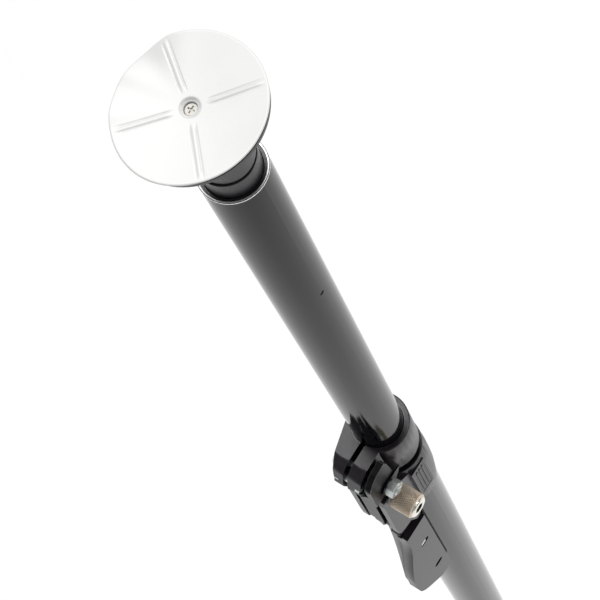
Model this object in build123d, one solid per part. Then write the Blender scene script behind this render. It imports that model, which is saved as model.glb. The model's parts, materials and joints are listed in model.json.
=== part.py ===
from build123d import *
import math
import os

os.makedirs("parts", exist_ok=True)

# A telescopic tension pole with a lever lock. +Z runs up the pole, the origin is the centre of the base
# pad's underside, the lever is on the -Y side and its adjuster barrel on the +X side. Millimetres.

# Tubes
outer_r = 22.5
outer_bore_r = 21.0
inner_r = 19.0
inner_bore_r = 17.8
outer_bottom = 30.0
outer_top = 1350.0
mouth = 1850.0
inner_length = 1366.0
inner_bottom = mouth - inner_length
slide_gap = 0.3
fit_gap = 0.05
pivot_gap = 0.1

# Feet
pad_r = 38.1
pad_t = 3.5
disc_r = 37.2
disc_t = 3.0
pad_centre_t = 1.2
pad_hole_r = 4.8
screw_head_r = 3.5
screw_head_t = 1.4
pad_lining_r = 3.6
screw_pocket_r = pad_hole_r + 0.2 + fit_gap
screw_pocket_t = 2.2
screw_r = 2.0
pad_face = 1924.5
foot_lean = 3.9
seam = 1863.5
seam_gap = 1.3
stem_r = 15.9
hub_r = 15.4
ball_r = 8.0
ball_z = 1872.0
stem_bottom = 1799.8
spring_seat_z = 1708.0
seat_pin_r = 1.6
seat_pin_yz = (0.0, spring_seat_z - 6.0)
base_rivet_z = outer_bottom + 13.0
base_rivet_r = 2.0

# Upper clamp collar
collar_bottom = 1368.0
collar_top = 1415.0
collar_r = 23.5
liner_r = 20.25
split = 4.0
ear_out = 13.5
clamp_bolts_yz = [(-33.5, 1402.0), (-43.6, 1397.0)]
clamp_heads_x = [-13.4, -10.0]
clamp_head_t = 3.9
link_pivot = (-30.0, 1377.0)

# Link
mid_x = 5.5
arm_in = 16.5
arm_out = 21.5
bar_half = 6.5
eye_half = 4.2
eye_r = 7.6
eye_hole_r = 5.1
crank_throw = 4.0
crank_pin_r = 3.0

# Lower housing
housing_bottom = 1268.0
housing_top = 1358.0
cheek_in = 11.5
cheek_out = 17.0
pivot_reach = 15.6
lever_pivot = (-37.5, 1277.0)
crank = (lever_pivot[0], lever_pivot[1] + crank_throw)
pinch_bolt = (-29.5, 1352.0)
pin_r = 4.0
barrel_r = 10.2
barrel_in = 24.0
barrel_out = 42.5

# Lever
knuckle_half = 10.4
knuckle_r = 6.4
knuckle_slot = 4.8
grip_top = 1239.0
grip_end = 1064.0
seam_x = 12.0
flank_x = 22.0
far_x = -12.5
tube_clear_r = 23.6
slot_centres = [(-29.2, 1189.4), (-28.3, 1106.0)]
slot_length = 10.5
slot_width = 7.0
slot_wall = 1.4
catch_pivot = (-29.0, 1222.0)
catch_pin_r = 2.0
catch_half = 3.6
catch_well = 5.4
heel = (-38.8, 1245.5)
heel_r = 4.2
heel_x = 7.5
cover_screws_yz = [(-34.5, 1164.0), (-30.0, 1128.0), (-31.0, 1092.0)]
cover_screw_r = 1.4
cover_screw_head_x = -5.0


def box(x0, x1, y0, y1, z0, z1):
    """A box between two corners."""
    size = Box(x1 - x0, y1 - y0, z1 - z0, align=(Align.MIN, Align.MIN, Align.MIN))
    return Pos(x0, y0, z0) * size


def rod_z(r, z0, z1, x=0.0, y=0.0):
    """A cylinder along Z."""
    return Pos(x, y, z0) * Cylinder(r, z1 - z0, align=(Align.CENTER, Align.CENTER, Align.MIN))


def tube_z(r_out, r_in, z0, z1):
    """A ring or tube about the pole's axis."""
    return rod_z(r_out, z0, z1) - rod_z(r_in, z0 - 1, z1 + 1)


def at_x(yz, x):
    """The plane square to X at x, centred on a point (y, z)."""
    return Plane(origin=(x, yz[0], yz[1]), x_dir=(0, 1, 0), z_dir=(1, 0, 0))


def rod_x(r, x0, x1, yz):
    """A cylinder along X."""
    return extrude(at_x(yz, x0) * Circle(r), amount=x1 - x0)


def hex_x(across, x0, x1, yz):
    """A hexagonal prism along X, its size given across flats."""
    return extrude(at_x(yz, x0) * RegularPolygon(across / math.sqrt(3), 6), amount=x1 - x0)


def hex_rounding(x0, x1, yz):
    """The turned barrel that bevels the corners of a 13 mm hexagon at both ends."""
    barrel = rod_x(7.35, x0, x1, yz)
    return chamfer(barrel.edges().filter_by(GeomType.CIRCLE), 0.75)


def plate_x(points, x0, x1):
    """A flat plate square to X, from its outline in (y, z)."""
    outline = Polyline(*[(y, z) for y, z in points], close=True)
    return extrude(Plane.YZ.offset(x0) * make_face(outline), amount=x1 - x0)


def revolve_z(points):
    """A body of revolution about the pole's axis, from its half section in (r, z)."""
    section = Plane.XZ * make_face(Polyline(*points, close=True))
    return revolve(section, axis=Axis.Z)


def soften(part, radius, axis):
    """Round the edges that run along one axis."""
    return fillet(part.edges().filter_by(axis), radius)


def soften_outer(part):
    """Round an ear's edges along X: generously on the side away from the tube, slightly elsewhere."""
    edges = part.edges().filter_by(Axis.X)
    outer = edges.filter_by(lambda e: e.center().Y < -35.5 and e.center().Z > 1382.5)
    part = fillet(outer, 6.0)
    edges = part.edges().filter_by(Axis.X)
    inner = edges.filter_by(lambda e: e.center().Z < 1382.5 and -49 < e.center().Y < -20)
    return fillet(inner, 1.5)


def coil(radius, wire_r, pitch, height):
    """A helical spring standing on z = 0."""
    path = Helix(pitch=pitch, height=height, radius=radius)
    start = Plane(origin=path @ 0, z_dir=path % 0)
    return sweep(start * Circle(wire_r), path=path)


def save(shape, name):
    """Write one sub-part as parts/NAME.step."""
    export_step(shape, "parts/" + name + ".step")


# ---------------------------------------------------------------- feet

def top_pad_disc(z0):
    """A shallow rubber dish whose centre lines the screw's pocket in the disc behind it."""
    dish = revolve_z([
        (pad_hole_r, z0), (pad_r, z0), (pad_r, z0 + pad_t), (pad_r - 1.0, z0 + pad_t),
        (pad_hole_r, z0 + pad_centre_t),
    ])
    return dish + tube_z(pad_hole_r + 0.2, pad_lining_r, z0 - screw_pocket_t, z0 + 0.3)


def base_pad_disc():
    """The floor pad: closed and flat underneath, where it carries the pole."""
    disc = rod_z(pad_r, 0, pad_t)
    return chamfer(disc.edges().group_by(Axis.Z)[0], 0.4)


def pad_screw(z_seat, side):
    """A pan-head screw with a cross recess, its head towards side (+1 up, -1 down)."""
    head = rod_z(screw_head_r, 0, screw_head_t)
    head = chamfer(head.edges().group_by(Axis.Z)[-1], 0.5)
    shank = rod_z(screw_r, -14.0, 0)
    arm = 2.0
    cross = box(-arm, arm, -0.45, 0.45, 0.5, 3) + box(-0.45, 0.45, -arm, arm, 0.5, 3)
    screw = head + shank - cross
    if side < 0:
        screw = Rot(180, 0, 0) * screw
    return Pos(0, 0, z_seat) * screw


def backing_disc(side):
    """A moulded disc behind the pad on side (+1 up, -1 down), with four ribs and a screw pocket."""
    disc = rod_z(disc_r, 0, disc_t)
    disc = chamfer(disc.edges().group_by(Axis.Z)[0], 0.8)
    for angle in range(45, 405, 90):
        disc += Rot(0, 0, angle) * box(19.5, disc_r - 3, -1.2, 1.2, -2.5, 0.1)
    disc -= rod_z(screw_pocket_r, disc_t - screw_pocket_t, disc_t + 1)
    disc -= rod_z(screw_r + fit_gap, -5, disc_t + 5)
    if side < 0:
        disc = Rot(180, 0, 0) * disc
    return disc


def lean(shape):
    """Tip a top foot piece about its ball, towards the lever side."""
    centre = Pos(0, 0, ball_z)
    return centre * Rot(foot_lean, 0, 0) * centre.inverse() * shape


def make_top_foot():
    """The top foot: sprung stem in the tube's mouth, ball, leaning hub, disc, pad and screw."""
    pad_bottom = pad_face - pad_t
    disc_bottom = pad_bottom - disc_t
    hub_top = disc_bottom
    hub = rod_z(hub_r, seam + seam_gap, hub_top - 6) + rod_z(19.0, hub_top - 6, hub_top)
    hub = chamfer(hub.edges().group_by(Axis.Z)[0], 0.4)
    hub -= Pos(0, 0, ball_z) * Sphere(ball_r + slide_gap)
    mouth_cone = Cone(9.5, 6.6, 5.4, align=(Align.CENTER, Align.CENTER, Align.MIN))
    hub -= Pos(0, 0, seam + seam_gap - 0.5) * mouth_cone
    hub -= rod_z(screw_r + fit_gap, hub_top - 14, hub_top + 1)
    save(lean(hub), "top_foot_hub")
    save(lean(Pos(0, 0, disc_bottom) * backing_disc(1)), "top_backing_disc")
    save(lean(top_pad_disc(pad_bottom)), "top_pad")
    save(lean(pad_screw(pad_bottom - screw_pocket_t, 1)), "top_pad_screw")

    stem = rod_z(stem_r, stem_bottom, seam)
    stem = chamfer(stem.edges().group_by(Axis.Z)[-1], 0.3)
    stem += rod_z(inner_bore_r - slide_gap, stem_bottom, stem_bottom + 10)
    stem += rod_z(4.6, seam - 1, ball_z)
    stem += Pos(0, 0, ball_z) * Sphere(ball_r)
    stem -= rod_z(12.0, stem_bottom - 1, stem_bottom + 55)
    save(stem, "plunger_stem")

    bush = tube_z(inner_bore_r - fit_gap, stem_r + slide_gap, mouth - 40, mouth - 0.4)
    save(bush, "mouth_bush")

    seat = rod_z(inner_bore_r - fit_gap, spring_seat_z - 12, spring_seat_z)
    seat += rod_z(6.0, spring_seat_z, spring_seat_z + 8)
    seat -= rod_x(seat_pin_r + fit_gap, -20, 20, seat_pin_yz)
    save(seat, "spring_seat")
    save(rod_x(seat_pin_r, -18.6, 18.6, seat_pin_yz), "spring_seat_pin")
    spring_height = stem_bottom + 55 - spring_seat_z
    spring = coil(9.3, 1.2, 9.0, spring_height - 2.8)
    save(Pos(0, 0, spring_seat_z + 1.4) * spring, "plunger_spring")


def make_base_foot():
    """The base foot: pad, disc and a plugged hub pinned into the outer tube."""
    save(base_pad_disc(), "base_pad")
    save(Pos(0, 0, pad_t + disc_t) * backing_disc(-1), "base_backing_disc")
    save(pad_screw(pad_t + screw_pocket_t, -1), "base_pad_screw")
    hub_bottom = pad_t + disc_t
    hub = rod_z(19.0, hub_bottom, hub_bottom + 6) + rod_z(hub_r, hub_bottom + 6, outer_bottom - 5)
    hub += rod_z(outer_r, outer_bottom - 5, outer_bottom - fit_gap)
    hub = chamfer(hub.edges().filter_by(GeomType.CIRCLE).filter_by(lambda e: e.radius > 22), 0.8)
    hub += rod_z(outer_bore_r - fit_gap, outer_bottom - 1, outer_bottom + 25)
    hub -= rod_z(screw_r + fit_gap, 0, hub_bottom + 14)
    hub -= rod_z(14.0, outer_bottom, outer_bottom + 30)
    hub -= rod_x(base_rivet_r + fit_gap, -22, 22, (0.0, base_rivet_z))
    save(hub, "base_hub")
    rivets = []
    for side in (-1, 1):
        shank = rod_x(base_rivet_r, side * 19.2 - 3.6, side * 19.2 + 3.6, (0.0, base_rivet_z))
        head = rod_x(3.4, side * 23.3 - 0.6, side * 23.3 + 0.6, (0.0, base_rivet_z))
        rivets.append(shank + head)
    save(Compound(children=rivets), "base_rivets")


# ---------------------------------------------------------------- tubes

def make_tubes():
    """Both tubes and the plastic bushes that guide one in the other."""
    outer = tube_z(outer_r, outer_bore_r, outer_bottom, outer_top)
    outer -= rod_x(base_rivet_r + fit_gap, -25, 25, (0.0, base_rivet_z))
    save(outer, "outer_tube")
    inner = tube_z(inner_r, inner_bore_r, inner_bottom, mouth)
    inner -= rod_x(seat_pin_r + fit_gap, -20, 20, seat_pin_yz)
    save(inner, "inner_tube")
    bush = tube_z(outer_bore_r - fit_gap, inner_r + slide_gap, outer_top - 45, outer_top + 1)
    bush += tube_z(23.1, inner_r + slide_gap, outer_top + fit_gap, outer_top + 4)
    save(bush, "guide_bush")
    sleeve = tube_z(outer_bore_r - slide_gap, inner_r + fit_gap, inner_bottom - 2, inner_bottom + 38)
    sleeve += tube_z(outer_bore_r - slide_gap, 14.0, inner_bottom - 4, inner_bottom - fit_gap)
    save(sleeve, "inner_guide_sleeve")


# ---------------------------------------------------------------- upper collar

def make_upper_collar():
    """The split clamp collar with its ears, liner, clamp bolts and link pivot bolt."""
    py, pz = link_pivot
    ear_outline = [
        (-6, collar_top + 0.5), (-36, collar_top + 0.5), (-45.0, 1410.5), (-50.0, 1393), (-47.0, 1381.5),
        (-36, 1381.5), (py - 7.8, pz - 4.5), (py, pz - 9), (-6, pz - 9),
    ]
    collar = rod_z(collar_r, collar_bottom, collar_top)
    collar = chamfer(collar.edges().group_by(Axis.Z)[-1], 0.8)
    collar += soften_outer(plate_x(ear_outline, split / 2, ear_out))
    far_corners = [(0, 0), (-20.5, 0), (-20.5, -11.4), (-14.8, -34), (-11.0, -44), (-7.0, -60), (0, -60)]
    far_plan = Polyline(*far_corners, close=True)
    far_block = extrude(Pos(0, 0, collar_bottom - 10) * make_face(far_plan), amount=70)
    collar += soften_outer(plate_x(ear_outline, -25, -split / 2)) & far_block
    collar += rod_x(8.5, -18.4, -8, link_pivot)
    collar -= rod_z(liner_r + fit_gap, collar_bottom - 1, collar_top + 2)
    collar -= box(-split / 2, split / 2, -60, 0, collar_bottom - 1, collar_top + 2)
    for yz, head_x in zip(clamp_bolts_yz, clamp_heads_x):
        collar -= rod_x(3.2, -20, 20, yz)
        collar -= rod_x(5.15, -20, head_x + clamp_head_t, yz)
        collar -= hex_x(10.2, 8.5, 20, yz)
    collar -= rod_x(pin_r + fit_gap, -20, 20, link_pivot)
    save(collar, "upper_collar")

    liner = tube_z(liner_r, inner_r + slide_gap, collar_bottom, collar_top - 0.6)
    liner -= box(-split / 2, split / 2, -60, 0, collar_bottom - 1, collar_top + 2)
    save(liner, "collar_liner")

    bolts = []
    nuts = []
    for yz, head_x in zip(clamp_bolts_yz, clamp_heads_x):
        bolt = rod_x(5.0, head_x, head_x + clamp_head_t, yz) + rod_x(3.0, head_x + 1, 12.6, yz)
        bolts.append(bolt - hex_x(5.0, head_x - 1, head_x + 2.4, yz))
        nuts.append(hex_x(10.0, 8.5, 12.2, yz) - rod_x(3.0 + fit_gap, 8, 13, yz))
    save(Compound(children=bolts), "clamp_bolts")
    save(Compound(children=nuts), "clamp_nuts")

    head = hex_x(13.0, -23.8, -18.5, link_pivot) & hex_rounding(-23.8, -18.5, link_pivot)
    bolt = head + rod_x(pin_r, -18.6, 31.0, link_pivot)
    save(chamfer(bolt.faces().sort_by(Axis.X)[-1].edges(), 0.6), "link_pivot_bolt")
    nut = hex_x(13.0, 23.0, 29.6, link_pivot) & hex_rounding(23.0, 29.6, link_pivot)
    save(nut - rod_x(pin_r + fit_gap, 22, 30, link_pivot), "link_pivot_nut")
    tab_outline = [(py - 2, pz - 8.5), (py + 12, pz + 1.5), (py + 15.5, pz + 9), (py + 3, pz + 8.5)]
    washer_x = (arm_out + slide_gap, arm_out + slide_gap + 1.2)
    washer = rod_x(9.0, *washer_x, link_pivot) + plate_x(tab_outline, *washer_x)
    save(washer - rod_x(pin_r + fit_gap, 21, 24, link_pivot), "link_tab_washer")
    spacer = rod_x(6.5, ear_out + fit_gap, arm_in - 0.2, link_pivot)
    save(spacer - rod_x(pin_r + fit_gap, 10, 20, link_pivot), "link_spacer")


# ---------------------------------------------------------------- link

def make_link():
    """The forked link from the collar's pivot bolt down to the lever's crank pin."""
    py, pz = link_pivot
    ey, ez = crank
    arm_outline = [
        (-22.5, 1411), (-24.5, 1417), (-36.5, 1415), (-46.5, 1405), (-47.5, pz - 8.5),
        (-38, pz - 8.5), (py, pz - 10), (py + 8, pz - 6), (py + 9.5, pz),
    ]
    link = box(mid_x - bar_half, arm_out, -46.5, -40.4, pz - 8.5, pz + 1.5)
    arm = plate_x(arm_outline, arm_in, arm_out)
    upper = arm.edges().filter_by(Axis.X).filter_by(lambda e: e.center().Z > 1400 and e.center().Y < -30)
    link += fillet(upper, 6.0)
    bar_outline = [
        (-46.5, pz - 6), (-44.0, 1352), (-45.5, 1296), (-31.0, 1296), (-35.0, 1310), (-35.2, 1360),
        (-40.4, pz - 6),
    ]
    link += plate_x(bar_outline, mid_x - bar_half, mid_x + bar_half)
    shank_outline = [(-45.0, 1297), (ey - eye_r, ez), (ey + eye_r, ez), (-31.0, 1297)]
    eye_x = (mid_x - eye_half, mid_x + eye_half)
    link += plate_x(shank_outline, *eye_x) + rod_x(eye_r, *eye_x, crank)
    link -= rod_x(eye_hole_r, -20, 20, crank)
    link -= rod_x(pin_r + pivot_gap, -30, 30, link_pivot)
    save(link, "link_fork")


# ---------------------------------------------------------------- lower housing

def make_lower_housing():
    """The cast housing on the outer tube: ring, two cheeks, catch tongue and badge recess."""
    ly, lz = lever_pivot
    ring = revolve_z([
        (18.0, housing_bottom), (23.3, housing_bottom), (24.9, housing_bottom + 26), (25.2, 1312),
        (25.2, 1330), (24.3, housing_top), (18.0, housing_top),
    ])
    cheek_outline = [
        (-5, 1288), (-8, 1347), (-17, 1354), (-24, 1360.5), (-42, 1360.5), (-43.5, 1352), (-45, 1290),
        (ly - 7.5, lz), (ly - 5.3, lz - 5.3), (ly, lz - 7.5), (-30, 1268), (-24.5, 1255), (-20, 1255.5),
    ]
    housing = ring
    for x0 in (mid_x + cheek_in, mid_x - cheek_out):
        housing += soften(plate_x(cheek_outline, x0, x0 + cheek_out - cheek_in), 1.2, Axis.X)
    for side in (-1, 1):
        housing += box(min(side * 18, side * 25.6), max(side * 18, side * 25.6), -11.5, 5, 1290, 1349)
    housing += box(mid_x - 4.5, mid_x + 4.5, -24.1, -20, 1246, housing_bottom + 4)
    housing += box(mid_x - 4.5, mid_x + 4.5, -27.0, -20, 1246, 1250.5)
    housing -= rod_z(outer_r + fit_gap, 1200, outer_top + fit_gap)
    housing -= rod_z(23.2, outer_top, housing_top + 1)
    housing -= box(-1.5, 1.5, -26, -20, housing_bottom + 6, housing_top + 1)
    for side in (-1, 1):
        recess = box(min(side * 24.4, side * 27), max(side * 24.4, side * 27), -9.5, 3, 1293, 1346)
        housing -= recess
    housing -= rod_x(pin_r + fit_gap, -30, 30, pinch_bolt)
    housing -= rod_x(pin_r + fit_gap, mid_x - pivot_reach, mid_x + pivot_reach, lever_pivot)
    save(housing, "lower_housing")

    badges = []
    for side in (-1, 1):
        plate_edges = sorted((side * 24.45, side * 25.4))
        plate = box(plate_edges[0], plate_edges[1], -9.4, 2.9, 1293.1, 1345.9)
        for y in (-6.6, -3.2, 0.2):
            rib_x = sorted((side * 25.3, side * 26.0))
            plate += box(rib_x[0], rib_x[1], y - 0.8, y + 0.8, 1297, 1342)
        badges.append(plate)
    save(Compound(children=badges), "badge_plates")

    stubs = []
    washers = []
    for side in (-1, 1):
        ends = sorted((mid_x + side * 7.2, mid_x + side * (pivot_reach - 0.1)))
        stubs.append(rod_x(pin_r, ends[0], ends[1], lever_pivot))
        centre = mid_x + side * (cheek_in + knuckle_half) / 2
        ring = rod_x(6.2, centre - 0.35, centre + 0.35, lever_pivot)
        washers.append(ring - rod_x(pin_r + fit_gap, centre - 1, centre + 1, lever_pivot))
    save(Compound(children=stubs), "lever_pivot_pins")
    save(Compound(children=washers), "lever_pivot_washers")

    head_x = mid_x - cheek_out - fit_gap
    head = hex_x(13.0, head_x - 5.3, head_x, pinch_bolt) & hex_rounding(head_x - 5.3, head_x, pinch_bolt)
    save(head + rod_x(pin_r, head_x - 0.1, barrel_out - 8, pinch_bolt), "pinch_bolt")
    washer = rod_x(9.0, 22.6, 23.8, pinch_bolt) - rod_x(pin_r + fit_gap, 22, 25, pinch_bolt)
    save(washer, "pinch_washer")


def make_adjuster():
    """The knurled barrel nut on the pinch bolt and its nickel-plated hex socket insert."""
    barrel = rod_x(barrel_r, barrel_in, barrel_out, pinch_bolt)
    barrel = chamfer(barrel.edges().filter_by(GeomType.CIRCLE), 1.0)
    barrel -= rod_x(pin_r + pivot_gap, barrel_in - 1, barrel_out, pinch_bolt)
    barrel -= rod_x(7.6, barrel_out - 7.5, barrel_out + 1, pinch_bolt)
    save(barrel, "knurled_barrel")
    insert = rod_x(7.6 - fit_gap, barrel_out - 7.4, barrel_out, pinch_bolt)
    insert += rod_x(8.6, barrel_out + fit_gap, barrel_out + 1.6, pinch_bolt)
    insert += rod_x(7.5, barrel_out - 1, barrel_out + 1, pinch_bolt)
    insert = chamfer(insert.faces().sort_by(Axis.X)[-1].edges(), 0.8)
    insert -= hex_x(8.0, barrel_out - 6.5, barrel_out + 3, pinch_bolt)
    save(insert, "barrel_socket_insert")


# ---------------------------------------------------------------- lever

def grip_sections():
    """Sections of the grip from top to tip: height, depth at the flank, depth at the far side."""
    return [
        (grip_top, 42.5, 31.5), (1222.0, 42.8, 31.5), (1205.0, 44.4, 32.4), (1183.0, 49.2, 33.6),
        (1160.0, 54.6, 34.8), (1132.0, 58.0, 36.6), (1108.0, 58.4, 39.4), (1096.0, 56.0, 40.0),
        (1082.0, 47.0, 37.5), (1070.0, 36.5, 32.0), (grip_end, 30.0, 27.0),
    ]


def grip_half(x_near, x_far, bevelled):
    """Loft one half of the grip; the far half falls away towards the far side."""
    faces = []
    for z, flank_depth, far_depth in grip_sections():
        depth = far_depth if bevelled else flank_depth
        corners = [(x_far, -17.2), (x_far, -depth), (x_near, -flank_depth), (x_near, -17.2)]
        faces.append(Pos(0, 0, z) * make_face(Polyline(*corners, close=True)))
    return loft(faces)


def make_lever_core():
    """The cast half of the lever: knuckle, neck and the grip's far half, open for the catch."""
    ly, lz = lever_pivot
    neck_outline = [
        (ly - knuckle_r, lz + crank_throw), (ly - knuckle_r, lz), (-41.5, 1264), (-38.4, 1252),
        (-37.7, grip_top - 6), (-27.0, grip_top - 6), (-27.0, 1262), (ly + knuckle_r, lz),
        (ly + knuckle_r, lz + crank_throw),
    ]
    core = grip_half(seam_x - 0.15, far_x, True)
    core += plate_x(neck_outline, mid_x - knuckle_half, mid_x + knuckle_half)
    core += rod_x(knuckle_r, mid_x - knuckle_half, mid_x + knuckle_half, crank)
    core -= box(mid_x - knuckle_slot, mid_x + knuckle_slot, -60, -20, lz - 11, lz + 14)
    core -= rod_z(tube_clear_r, 1000, 1300)
    core += rod_x(heel_r, heel_x, mid_x + knuckle_half, heel)
    core -= box(mid_x - catch_well, mid_x + catch_well, -33.5, -20, 1200, lz - 14)
    core -= box(mid_x - catch_well, mid_x + catch_well, -36.0, -20, 1172, 1212)
    core -= rod_x(crank_pin_r + fit_gap, mid_x - 6.9, mid_x + 6.9, crank)
    for side in (-1, 1):
        stub_x = mid_x + side * 8.9
        core -= rod_x(pin_r + pivot_gap, stub_x - 1.8, stub_x + 1.8, lever_pivot)
    y, z = slot_centres[0]
    core -= box(-20, 20, y - slot_length / 2 - 0.6, y + slot_length / 2, z - 3.6, z + 3.6)
    core -= rod_x(catch_pin_r + fit_gap, mid_x - 9, mid_x + 9, catch_pivot)
    for yz in cover_screws_yz:
        core -= rod_x(cover_screw_r + slide_gap, -8, 20, yz)
        core -= rod_x(3.3, -20, cover_screw_head_x + 2.5, yz)
    save(core, "lever_core")


def make_lever_cover():
    """The flank half of the lever, hollow behind its two radial slots."""
    cover = grip_half(flank_x, seam_x, False)
    cover -= rod_z(tube_clear_r, 1000, 1300)
    cover -= box(seam_x - 1, 18.5, -31, -10, 1100, grip_top - 10)
    cover -= box(seam_x - 1, mid_x + knuckle_half + slide_gap, -46, -10, grip_top - 6.2, grip_top + 1)
    reach = (slot_length - slot_width) / 2
    for y, z in slot_centres:
        for end in (y - reach, y + reach):
            cover -= rod_x(slot_width / 2, seam_x - 1, 30, (end, z))
        cover -= box(seam_x - 1, 30, y - reach, y + reach, z - slot_width / 2, z + slot_width / 2)
        well_y = (y - slot_length / 2 - 0.5, y + slot_length / 2 + 0.5)
        cover -= box(seam_x - 1, flank_x - slot_wall, *well_y, z - slot_width, z + slot_width)
    for yz in cover_screws_yz:
        cover -= rod_x(cover_screw_r + fit_gap, seam_x - 1, 18.0, yz)
    save(cover, "lever_cover")


def make_lever_fittings():
    """Screws, pins and the sprung safety catch inside the lever."""
    screws = []
    for yz in cover_screws_yz:
        screw = rod_x(cover_screw_r, cover_screw_head_x + 2.4, 17.5, yz)
        screw += rod_x(3.0, cover_screw_head_x, cover_screw_head_x + 2.5, yz)
        screws.append(screw - hex_x(2.5, cover_screw_head_x - 1, cover_screw_head_x + 1.4, yz))
    save(Compound(children=screws), "lever_cover_screws")
    save(rod_x(crank_pin_r, mid_x - 6.8, mid_x + 6.8, crank), "crank_pin")
    save(rod_x(catch_pin_r, mid_x - 8.8, mid_x + 8.8, catch_pivot), "catch_pivot_pin")

    cy, cz = catch_pivot
    y, z = slot_centres[0]
    rocker_outline = [
        (cy - 6.2, z - 6), (cy + 2.8, z - 6), (cy + 2.8, cz - 4), (cy + 3.0, cz + 4), (-27.6, 1240),
        (-27.6, 1251), (-25.4, 1251), (-25.4, 1253.0), (-27.6, 1258.0), (-30.4, 1258.0),
        (-30.9, 1240), (cy - 3.0, cz + 4), (cy - 2.8, cz - 4), (cy - 6.2, z + 6),
    ]
    bar_t = 4.0
    bar_y = (y - 4.4, y + 1.6)
    rocker = plate_x(rocker_outline, mid_x - catch_half, mid_x + catch_half)
    rocker -= rod_x(catch_pin_r + pivot_gap, mid_x - 5, mid_x + 5, catch_pivot)
    slot_z = (z - bar_t / 2 - fit_gap, z + bar_t / 2 + fit_gap)
    rocker -= box(mid_x - 5, mid_x + 5, bar_y[0] - fit_gap, bar_y[1] + fit_gap, *slot_z)
    save(rocker, "safety_catch")
    bar = box(far_x - 3.5, flank_x - 0.4, *bar_y, z - bar_t / 2, z + bar_t / 2)
    tab = box(far_x - 6.5, far_x - 3.5, y - 6.0, y + 3.0, z - 5.0, z + 5.0)
    save(soften(bar, 1.2, Axis.X) + soften(tab, 1.5, Axis.X), "catch_bar")
    spring = Rot(0, 90, 0) * coil(2.9, 0.3, 0.8, 0.8)
    save(Pos(mid_x + catch_half + 0.5, cy, cz) * spring, "catch_spring")


make_base_foot()
make_tubes()
make_top_foot()
make_upper_collar()
make_link()
make_lower_housing()
make_adjuster()
make_lever_core()
make_lever_cover()
make_lever_fittings()
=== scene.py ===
import json
import math

import bpy
from mathutils import Matrix, Vector


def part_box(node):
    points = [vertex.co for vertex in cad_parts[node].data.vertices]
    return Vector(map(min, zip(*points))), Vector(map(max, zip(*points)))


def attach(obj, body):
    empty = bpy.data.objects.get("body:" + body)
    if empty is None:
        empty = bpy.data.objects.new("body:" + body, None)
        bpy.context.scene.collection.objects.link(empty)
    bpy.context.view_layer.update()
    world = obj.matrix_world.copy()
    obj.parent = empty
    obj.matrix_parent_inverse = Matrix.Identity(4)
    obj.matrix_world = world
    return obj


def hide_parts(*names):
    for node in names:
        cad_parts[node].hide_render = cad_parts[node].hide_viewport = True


# A telescopic tension pole with a lever lock, in metres, in the CAD's own frame: +Z runs up the pole,
# the lever is on the -Y side and its adjuster barrel on the +X side.
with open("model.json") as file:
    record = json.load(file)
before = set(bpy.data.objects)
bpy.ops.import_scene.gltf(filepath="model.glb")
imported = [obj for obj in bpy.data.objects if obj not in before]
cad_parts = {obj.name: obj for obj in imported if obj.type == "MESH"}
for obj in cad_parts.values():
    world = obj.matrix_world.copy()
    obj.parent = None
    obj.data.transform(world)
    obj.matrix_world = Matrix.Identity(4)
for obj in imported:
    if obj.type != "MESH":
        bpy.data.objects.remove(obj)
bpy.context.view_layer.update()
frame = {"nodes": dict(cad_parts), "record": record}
nodes = frame["nodes"]
MM = 0.001


# ---------------------------------------------------------------- node graph helpers

class Graph:
    """A material and short calls that add nodes to it."""

    def __init__(self, name):
        self.mat = bpy.data.materials.new(name)
        self.mat.use_nodes = True
        self.tree = self.mat.node_tree
        self.shader = self.tree.nodes["Principled BSDF"]
        self.place = self.tree.nodes.new("ShaderNodeTexCoord").outputs["Object"]

    def set(self, **values):
        for name, value in values.items():
            self.shader.inputs[name.replace("_", " ")].default_value = value

    def link(self, source, name):
        self.tree.links.new(source, self.shader.inputs[name])

    def node(self, kind, inputs=None, **settings):
        made = self.tree.nodes.new(kind)
        for name, value in settings.items():
            setattr(made, name, value)
        for name, value in (inputs or {}).items():
            if isinstance(value, bpy.types.NodeSocket):
                self.tree.links.new(value, made.inputs[name])
            else:
                made.inputs[name].default_value = value
        return made

    def stretched(self, x, y, z):
        """The object's own coordinates, stretched along each axis."""
        mapping = self.node("ShaderNodeMapping", {"Vector": self.place, "Scale": (x, y, z)})
        return mapping.outputs["Vector"]

    def noise(self, scale, detail=3.0, rough=0.5, vector=None):
        inputs = {"Vector": vector or self.place, "Scale": scale, "Detail": detail, "Roughness": rough}
        return self.node("ShaderNodeTexNoise", inputs).outputs["Fac"]

    def span(self, value, low, high, from_low=0.0, from_high=1.0):
        """Map a value to a new range, clamped."""
        inputs = {"Value": value, "From Min": from_low, "From Max": from_high, "To Min": low, "To Max": high}
        return self.node("ShaderNodeMapRange", inputs).outputs["Result"]

    def math(self, operation, a, b=0.0):
        return self.node("ShaderNodeMath", {0: a, 1: b}, operation=operation).outputs[0]

    def mix(self, factor, a, b):
        made = self.tree.nodes.new("ShaderNodeMix")
        made.data_type = "RGBA"
        for index, value in ((0, factor), (6, a), (7, b)):
            if isinstance(value, bpy.types.NodeSocket):
                self.tree.links.new(value, made.inputs[index])
            else:
                made.inputs[index].default_value = value
        return made.outputs[2]

    def bump(self, height, strength, distance):
        inputs = {"Height": height, "Strength": strength, "Distance": distance}
        self.link(self.node("ShaderNodeBump", inputs).outputs["Normal"], "Normal")

    def edges(self, low, high):
        """1 on sharp outer edges, 0 elsewhere; with low above high it is 1 in crevices, which plated uses as
        the mask of its painted shade.
        """
        point = self.node("ShaderNodeNewGeometry").outputs["Pointiness"]
        return self.span(point, 0.0, 1.0, low, high)


def rgb(r, g, b):
    return (r, g, b, 1.0)


def shade(tint, r, g=None, b=None):
    """A tint made lighter or darker, by one factor or by one for each channel."""
    return rgb(tint[0] * r, tint[1] * (g or r), tint[2] * (b or r))


# ---------------------------------------------------------------- materials

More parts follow.
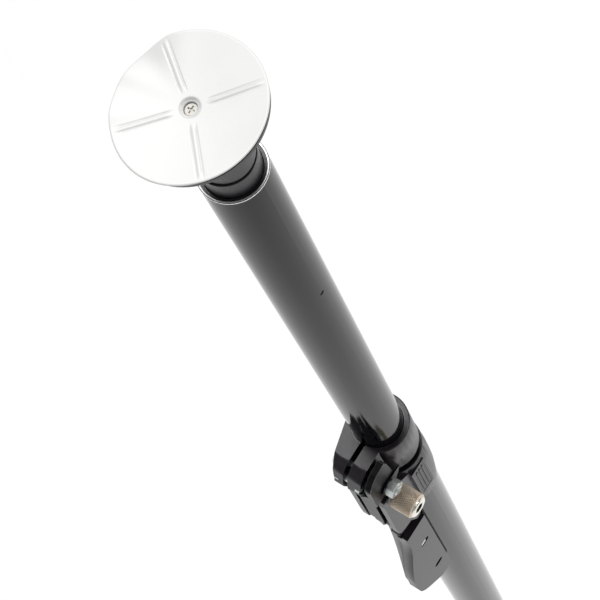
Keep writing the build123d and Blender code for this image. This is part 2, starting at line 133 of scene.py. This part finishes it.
def anodised(name, tint):
    """Glossy black anodised tube: drawn lines along its length, faint dust and handling marks."""
    g = Graph(name)
    drawn = g.noise(1.0, 3.0, 0.6, g.stretched(2600, 2600, 9))
    cloud = g.noise(14.0, 4.0, 0.6)
    marks = g.noise(1.0, 2.0, 0.5, g.stretched(300, 300, 40))
    dust = g.span(g.noise(900.0, 2.0, 0.7), 0.0, 1.0, 0.66, 0.74)
    body = g.mix(g.span(cloud, 0.0, 1.0, 0.3, 0.7), tint, shade(tint, 1.5, 1.5, 1.6))
    g.link(g.mix(g.math("MULTIPLY", dust, 0.02), body, rgb(0.3, 0.3, 0.29)), "Base Color")
    rough = g.math("ADD", g.span(drawn, 0.06, 0.11, 0.3, 0.7), g.span(marks, 0.0, 0.04, 0.5, 0.75))
    g.link(rough, "Roughness")
    g.set(IOR=1.25)
    g.bump(drawn, 0.05, 0.00002)
    return g.mat


def cast_paint(name, tint, wear_and_highlight_tint, rough, ior=1.36, wear_and_highlight=0.06):
    """Powder-coated casting: fine sand texture, slight colour drift and light patches, which are faint worn
    paint at low coverage and a painted highlight at the edge paint's high coverage.
    """
    g = Graph(name)
    sand = g.noise(1500.0, 3.0, 0.65)
    swell = g.noise(230.0, 2.0, 0.5)
    drift = g.noise(45.0, 3.0, 0.6)
    body = g.mix(g.span(drift, 0.0, 1.0, 0.3, 0.7), shade(tint, 0.78), shade(tint, 1.2))
    # Light patches: worn paint at low coverage, painted highlight where the coverage is high, as on the edge
    # paint.
    rubbed_and_highlight = g.math("MULTIPLY", g.span(g.noise(320.0, 3.0, 0.7), 0.0, 1.0, 0.35, 0.6), wear_and_highlight)
    g.link(g.mix(rubbed_and_highlight, body, wear_and_highlight_tint), "Base Color")
    g.link(g.span(sand, rough - 0.05, rough + 0.1, 0.3, 0.7), "Roughness")
    g.set(IOR=ior)
    height = g.math("ADD", g.math("MULTIPLY", sand, 0.5), swell)
    g.bump(height, 0.35, 0.00009)
    return g.mat


def moulded(name, tint, rough, grain):
    """Moulded nylon with a fine spark-eroded grain."""
    g = Graph(name)
    fine = g.noise(grain, 3.0, 0.6)
    flow = g.noise(60.0, 3.0, 0.55)
    body = g.mix(g.span(flow, 0.0, 1.0, 0.3, 0.7), tint, shade(tint, 1.6, 1.55, 1.6))
    g.link(body, "Base Color")
    g.link(g.span(fine, rough - 0.07, rough + 0.1, 0.3, 0.7), "Roughness")
    g.bump(fine, 0.25, 0.00006)
    return g.mat


def plated(name, tint, second, rough, brushed, crevice_shade=0.0, dulled=0.5):
    """Plated steel: fine brushed lines, patchy passivation colour, small dull spots and painted shade that
    darkens its crevices.
    """
    g = Graph(name)
    lines = g.noise(1.0, 3.0, 0.6, g.stretched(*brushed))
    patch = g.noise(260.0, 3.0, 0.6)
    spots = g.span(g.noise(1400.0, 2.0, 0.7), 0.0, 1.0, 0.62, 0.7)
    body = g.mix(g.span(patch, 0.0, 1.0, 0.35, 0.65), tint, second)
    body = g.mix(g.math("MULTIPLY", spots, dulled), body, shade(tint, 0.45))
    # Painted shade: crevices are darkened towards near-black by the given strength.
    if crevice_shade:
        body = g.mix(g.math("MULTIPLY", g.edges(0.5, 0.42), crevice_shade), body, rgb(0.03, 0.025, 0.02))
    g.link(body, "Base Color")
    sheen = g.span(lines, rough - 0.06, rough + 0.08, 0.3, 0.7)
    g.link(g.math("ADD", sheen, g.math("MULTIPLY", spots, 0.15)), "Roughness")
    g.set(Metallic=1.0)
    g.bump(lines, 0.12, 0.00003)
    return g.mat


def rubber(name, tint):
    """White moulded rubber: soft mottling, a faint satin skin and light scuffs."""
    g = Graph(name)
    mottle = g.noise(70.0, 4.0, 0.6)
    scuff = g.span(g.noise(1.0, 4.0, 0.7, g.stretched(160, 420, 160)), 0.0, 1.0, 0.62, 0.78)
    body = g.mix(g.span(mottle, 0.0, 1.0, 0.3, 0.7), shade(tint, 0.95, 0.95, 0.94), tint)
    body = g.mix(g.math("MULTIPLY", scuff, 0.12), body, shade(tint, 0.8, 0.8, 0.78))
    g.link(body, "Base Color")
    g.link(g.span(mottle, 0.31, 0.36, 0.3, 0.7), "Roughness")
    g.set(Subsurface_Weight=0.12, Subsurface_Radius=(0.6, 0.55, 0.5), Subsurface_Scale=0.002, IOR=1.5)
    g.bump(g.noise(1100.0, 2.0, 0.5), 0.12, 0.00005)
    return g.mat


MATERIALS = {
    "black_anodised": anodised("black_anodised_tube", rgb(0.0026, 0.0025, 0.0034)),
    "grey_cast_paint": cast_paint(
        "grey_cast", rgb(0.010, 0.008, 0.011), rgb(0.12, 0.10, 0.12), 0.30),
    "olive_cast_paint": cast_paint(
        "olive_cast", rgb(0.016, 0.015, 0.013), rgb(0.14, 0.13, 0.11), 0.34),
    "black_cast_paint": cast_paint(
        "black_cast", rgb(0.003, 0.0027, 0.0034), rgb(0.06, 0.055, 0.06), 0.32, 1.2),
    "badge_plastic": moulded("badge_plate", rgb(0.018, 0.016, 0.020), 0.42, 1700.0),
    "black_nylon": moulded("black_nylon", rgb(0.010, 0.009, 0.011), 0.34, 1500.0),
    "zinc_steel": plated(
        "zinc_steel", rgb(0.62, 0.68, 0.70), rgb(0.64, 0.66, 0.62), 0.36, (500, 2200, 2200)),
    "spring_steel": plated(
        "spring_steel", rgb(0.34, 0.34, 0.36), rgb(0.28, 0.27, 0.27), 0.3, (900, 900, 900)),
    # knurled_nickel's last number is the strength of the painted shade in the knurl's grooves.
    "knurled_nickel": plated(
        "knurled_nickel", rgb(0.64, 0.54, 0.43), rgb(0.72, 0.61, 0.49), 0.36, (600, 600, 600), 0.85),
    "bright_nickel": plated(
        "bright_nickel", rgb(0.82, 0.79, 0.72), rgb(0.78, 0.74, 0.66), 0.16, (500, 500, 500)),
    "white_nylon": moulded("white_nylon", rgb(0.42, 0.41, 0.37), 0.3, 1500.0),
    "white_rubber": rubber("white_rubber", rgb(0.745, 0.745, 0.74)),
}
BLACK_OXIDE = plated(
    "black_oxide_steel", rgb(0.018, 0.017, 0.019), rgb(0.024, 0.022, 0.024), 0.3, (700, 700, 700))
# Painted highlight: a far lighter paint, mostly covered by its light patches, for the castings' rounded
# edges; it stands in for their thin bright edge highlights.
PAINTED_EDGE_HIGHLIGHT = cast_paint(
    "painted_edge_highlight", rgb(0.085, 0.08, 0.085), rgb(0.34, 0.32, 0.33), 0.2, 1.6, 0.8)
BARE_METAL = plated(
    "bare_aluminium", rgb(0.94, 0.94, 0.93), rgb(0.88, 0.88, 0.88), 0.5, (900, 900, 900), 0.0, 0.1)

slots = {part["node"]: part["material_slot"] for part in frame["record"]["subparts"]}
for name, obj in nodes.items():
    obj.data.materials.clear()
    obj.data.materials.append(BLACK_OXIDE if name == "spring_seat_pin" else MATERIALS[slots[name]])


# ---------------------------------------------------------------- mesh helpers

def piece(name, verts, faces, body, slot, material=None):
    """A new mesh that rides on a body."""
    mesh = bpy.data.meshes.new(name)
    mesh.from_pydata(verts, [], faces)
    mesh.validate()
    mesh.polygons.foreach_set("use_smooth", [True] * len(mesh.polygons))
    mesh.materials.append(material or MATERIALS[slot])
    obj = bpy.data.objects.new(name, mesh)
    bpy.context.scene.collection.objects.link(obj)
    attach(obj, body)
    return obj


def ring_faces(rings, count):
    """Quads that join each ring of points to the next, and the last ring to the first."""
    faces = []
    for index in range(rings):
        low, high = index * count, (index + 1) % rings * count
        for step in range(count):
            after = (step + 1) % count
            faces.append((low + step, low + after, high + after, high + step))
    return faces


def lathe(name, rings, count, place, body, slot, relief=None, material=None):
    """Turn a closed profile of (radius, height) pairs; place puts a local point in the row frame.
    relief(angle, ring) is how far it moves a point outwards."""
    verts = []
    for index, (r, h) in enumerate(rings):
        for step in range(count):
            angle = math.tau * step / count
            reach = r + (relief(angle, index) if relief else 0.0)
            verts.append(place @ Vector((reach * math.cos(angle), reach * math.sin(angle), h)))
    return piece(name, verts, ring_faces(len(rings), count), body, slot, material)


def bevelled(name, width, angle=32.0):
    """A copy of a cast CAD part with its hard edges rounded, which stands for that part; the rounded edges
    take the lighter edge paint, a painted highlight.
    """
    source = nodes[name]
    obj = bpy.data.objects.new(name + "_rounded", source.data.copy())
    bpy.context.scene.collection.objects.link(obj)
    weld = obj.modifiers.new("weld", "WELD")
    weld.merge_threshold = 0.00001
    flat = obj.modifiers.new("flat", "DECIMATE")
    flat.decimate_type = "DISSOLVE"
    flat.angle_limit = math.radians(1.0)
    round_off = obj.modifiers.new("round", "BEVEL")
    round_off.width = width
    round_off.segments = 2
    round_off.limit_method = "ANGLE"
    round_off.angle_limit = math.radians(angle)
    round_off.harden_normals = True
    # The bevel faces take the lighter edge paint: a painted highlight along every rounded edge.
    obj.data.materials.append(PAINTED_EDGE_HIGHLIGHT)
    round_off.material = 1
    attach(obj, body_name(name))
    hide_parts(name)
    return obj


def body_name(node):
    """The body that a CAD node rides on."""
    bodies = frame["record"]["behaviour"]["bodies"]
    return next(body for body, members in bodies.items() if node in members)


# ---------------------------------------------------------------- top pad

mounts = {mount["name"]: mount for mount in frame["record"]["mounts"]}
UP = Vector(mounts["top_face"]["axis"]).normalized()
ACROSS = Vector((1.0, 0.0, 0.0))
ALONG = UP.cross(ACROSS)
lip = Vector(mounts["top_face"]["pos_m"])
PAD_CENTRE = lip - ACROSS * lip.dot(ACROSS)
PAD_R = (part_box("base_pad")[1].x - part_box("base_pad")[0].x) / 2
PAD_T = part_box("base_pad")[1].z
PAD_HOLE_R = 4.8 * MM
RIB_ANGLES = [math.radians(a) for a in (46, 143, -133, -47)]
RIB_INNER_R = 8.0 * MM
RIB_OUTER_R = PAD_R - 1.5 * MM
RIB_FADE = 4.0 * MM
CREASE_SIDE = 1.45


def bell(value, centre, width):
    """A smooth bump of height 1 about a centre, for angles in degrees."""
    gap = (value - centre + 180.0) % 360.0 - 180.0
    return math.exp(-(gap / width) ** 2)


def pad_height(r, angle):
    """The pad's top surface below its lip: a shallow dish, a wavy rim and four pairs of creases."""
    share = r / PAD_R
    degrees = math.degrees(angle)
    height = -2.2 * MM * (1 - share ** 1.6)
    wave = -2.3 * bell(degrees, 163, 17) - 1.1 * bell(degrees, 191, 11) + 0.6 * bell(degrees, 213, 9)
    wave += 0.35 * bell(degrees, 132, 12) - 0.35 * bell(degrees, 60, 40)
    height += wave * MM * share ** 3.2
    for rib in RIB_ANGLES:
        side = r * math.sin(angle - rib)
        if r * math.cos(angle - rib) > 0:
            fade = min(1.0, max(0.0, (r - RIB_INNER_R) / RIB_FADE))
            fade *= min(1.0, max(0.0, (RIB_OUTER_R - r) / RIB_FADE))
            height += 0.22 * MM * fade * math.exp(-(side / (0.9 * MM)) ** 2)
            for edge in (-CREASE_SIDE, CREASE_SIDE):
                height -= 0.26 * MM * fade * math.exp(-((side - edge * MM) / (0.38 * MM)) ** 2)
    return height


def rim_reach(angle):
    """How far the rim runs past or short of its circle."""
    degrees = math.degrees(angle)
    return MM * (1.1 * bell(degrees, -92, 34) - 0.7 * bell(degrees, 163, 18) + 0.4 * bell(degrees, 139, 7)
                 - 0.3 * bell(degrees, -158, 12))


# How far some rows of the pad's skin lie below its top surface.
ROW_DROPS = {"lip_low": 0.55, "lip_high": 0.08, "round_top": 0.12, "edge": 0.5, "round_low": 0.95}


def pad_rows(radial):
    """The pad's skin from its screw pocket over the top and back under, as (radius, kind) rows. A number
    as kind is a fixed height."""
    hole = PAD_HOLE_R
    lining_r, lining_z = 3.6 * MM, -PAD_T - 2.15 * MM
    rows = [(hole + 0.2 * MM, -PAD_T), (hole + 0.2 * MM, lining_z), (lining_r, lining_z)]
    rows += [(lining_r, -PAD_T + 0.1 * MM), (lining_r + 0.25 * MM, -PAD_T + 0.35 * MM)]
    rows += [(hole - 0.25 * MM, -PAD_T + 0.4 * MM), (hole, "lip_low"), (hole + 0.45 * MM, "lip_high")]
    for index in range(1, radial):
        reach = (PAD_R - 0.7 * MM - hole - 0.45 * MM) * index / (radial - 1)
        rows.append((hole + 0.45 * MM + reach, "top"))
    rows += [(PAD_R - 0.25 * MM, "round_top"), (PAD_R, "edge"), (PAD_R - 0.35 * MM, "round_low")]
    rows += [(PAD_R * 0.8, "under"), (PAD_R * 0.45, "under")]
    return rows


def make_top_pad():
    """The white rubber dish, drawn as one thin closed skin."""
    around = 480
    skin = 1.0 * MM
    place = Matrix.Translation(PAD_CENTRE) @ Matrix((ACROSS, ALONG, UP)).transposed().to_4x4()
    rows = pad_rows(74)
    verts = []
    for r, kind in rows:
        for step in range(around):
            angle = math.tau * step / around
            reach = r + rim_reach(angle) * (r / PAD_R) ** 6
            height = pad_height(r, angle)
            if not isinstance(kind, str):
                height = kind
            elif kind == "under":
                height = -PAD_T + 0.05 * MM + (height + PAD_T - skin) * min(1.0, (r / PAD_R) ** 2) * 0.9
            elif kind in ROW_DROPS:
                height -= ROW_DROPS[kind] * MM
            verts.append(place @ Vector((reach * math.cos(angle), reach * math.sin(angle), height)))
    faces = ring_faces(len(rows), around)
    pad = piece("top_pad_rubber", verts, faces, "top_foot", "white_rubber")
    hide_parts("top_pad")


# ---------------------------------------------------------------- adjuster barrel

def make_barrel():
    """The adjuster barrel with its diamond knurl, turned about the pinch bolt's axis."""
    low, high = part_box("knurled_barrel")
    radius = (high.z - low.z) / 2
    length = high.x - low.x
    bore = 4.1 * MM
    socket_r = 7.6 * MM
    socket_depth = 7.4 * MM
    end = Vector((low.x, (low.y + high.y) / 2, (low.z + high.z) / 2))
    place = Matrix.Translation(end) @ Matrix.Rotation(math.pi / 2, 4, "Y")
    starts = 38
    lead = 0.75
    knurl_depth = 0.5 * MM
    rows = [(bore, 0.0), (radius - 1.0 * MM, 0.0), (radius - 0.3 * MM, 0.7 * MM)]
    fine = 84
    for index in range(fine + 1):
        rows.append((radius, 1.0 * MM + (length - 2.0 * MM) * index / fine))
    rows += [(radius - 0.3 * MM, length - 0.7 * MM), (radius - 1.0 * MM, length), (socket_r, length)]
    rows += [(socket_r, length - socket_depth), (bore, length - socket_depth)]

    def knurl(angle, index):
        if not 3 <= index <= fine + 3:
            return 0.0
        along = (index - 3) / fine * (length - 2.0 * MM)
        turn = along / radius * lead
        left = abs(math.sin(starts * (angle + turn) / 2))
        right = abs(math.sin(starts * (angle - turn) / 2))
        depth = 1.0 - min(1.0, 1.6 * left) * min(1.0, 1.6 * right)
        return -knurl_depth * depth

    barrel = lathe("knurled_barrel_turned", rows, 552, place, "adjuster", "knurled_nickel", knurl)
    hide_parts("knurled_barrel")


# ---------------------------------------------------------------- tube ends

def make_tube_rim():
    """The bare machined end of the inner tube, a thin chamfered ring over its cut face."""
    low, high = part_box("inner_tube")
    outer = (high.x - low.x) / 2
    inner = outer - 1.2 * MM
    top = high.z
    rows = [
        (inner - 0.01 * MM, top - 0.6 * MM), (inner - 0.01 * MM, top),
        (inner + 0.2 * MM, top + 0.03 * MM), (outer - 0.45 * MM, top + 0.03 * MM),
        (outer - 0.1 * MM, top - 0.1 * MM), (outer + 0.015 * MM, top - 0.4 * MM),
        (outer + 0.015 * MM, top - 0.9 * MM), (outer - 0.1 * MM, top - 0.95 * MM),
    ]
    lathe("inner_tube_cut_end", rows, 256, Matrix.Identity(4), "inner_tube", "zinc_steel",
          material=BARE_METAL)


make_top_pad()
make_barrel()
make_tube_rim()
EDGE_WIDTHS = {
    "upper_collar": 0.8, "lower_housing": 0.7, "link_fork": 0.8, "lever_core": 0.7, "lever_cover": 0.9,
}
for casting, width in EDGE_WIDTHS.items():
    bevelled(casting, width * MM)


# ---------------------------------------------------------------- floor, lights and camera

def make_floor():
    """A plain pale studio floor."""
    g = Graph("studio_floor")
    drift = g.span(g.noise(3.0, 3.0, 0.5), 0.0, 1.0, 0.35, 0.65)
    g.link(g.mix(drift, rgb(0.90, 0.90, 0.90), rgb(0.93, 0.93, 0.93)), "Base Color")
    g.set(Roughness=0.9)
    size = 30.0
    mesh = bpy.data.meshes.new("studio_floor")
    corners = [(-size, -size, 0), (size, -size, 0), (size, size, 0), (-size, size, 0)]
    mesh.from_pydata(corners, [], [(0, 1, 2, 3)])
    mesh.materials.append(g.mat)
    floor = bpy.data.objects.new("studio_floor", mesh)
    bpy.context.scene.collection.objects.link(floor)


def make_light(name, place, target, size, power):
    """A square softbox aimed at a point."""
    light = bpy.data.lights.new(name, "AREA")
    light.shape = "SQUARE"
    light.size = size
    light.energy = power
    obj = bpy.data.objects.new(name, light)
    obj.location = place
    obj.rotation_euler = (Vector(target) - Vector(place)).to_track_quat("-Z", "Y").to_euler()
    bpy.context.scene.collection.objects.link(obj)


def make_key():
    """One broad, far-off key light, the same at the top of the pole and on the floor."""
    light = bpy.data.lights.new("key", "SUN")
    light.energy = 2.4
    light.angle = math.radians(35.0)
    obj = bpy.data.objects.new("key", light)
    obj.rotation_euler = Vector((0.35, -0.3, -1.0)).to_track_quat("-Z", "Y").to_euler()
    bpy.context.scene.collection.objects.link(obj)


def make_world():
    """A soft, even white surround."""
    world = bpy.data.worlds.new("studio")
    world.use_nodes = True
    background = world.node_tree.nodes["Background"]
    background.inputs["Color"].default_value = rgb(1.0, 1.0, 1.0)
    background.inputs["Strength"].default_value = 0.35
    bpy.context.scene.world = world


def make_camera():
    """Above the pole's top, looking down its length."""
    right = Vector((0.81271, 0.54558, -0.20456))
    up = Vector((-0.45984, 0.81618, 0.34985))
    back = Vector((0.35783, -0.19026, 0.91420))
    turn = Matrix((right, up, back)).transposed().to_4x4()
    data = bpy.data.cameras.new("camera")
    data.sensor_width = 36.0
    data.lens = 104.31
    data.clip_end = 100.0
    camera = bpy.data.objects.new("camera", data)
    camera.matrix_world = Matrix.Translation((0.36217, -0.19696, 2.60088)) @ turn
    bpy.context.scene.collection.objects.link(camera)
    bpy.context.scene.camera = camera


make_floor()
make_key()
make_light("side_softbox", (1.9, 1.5, 2.6), (0.0, 0.0, 1.4), 1.2, 20.0)
make_world()
make_camera()
bpy.context.scene.view_settings.view_transform = "Standard"
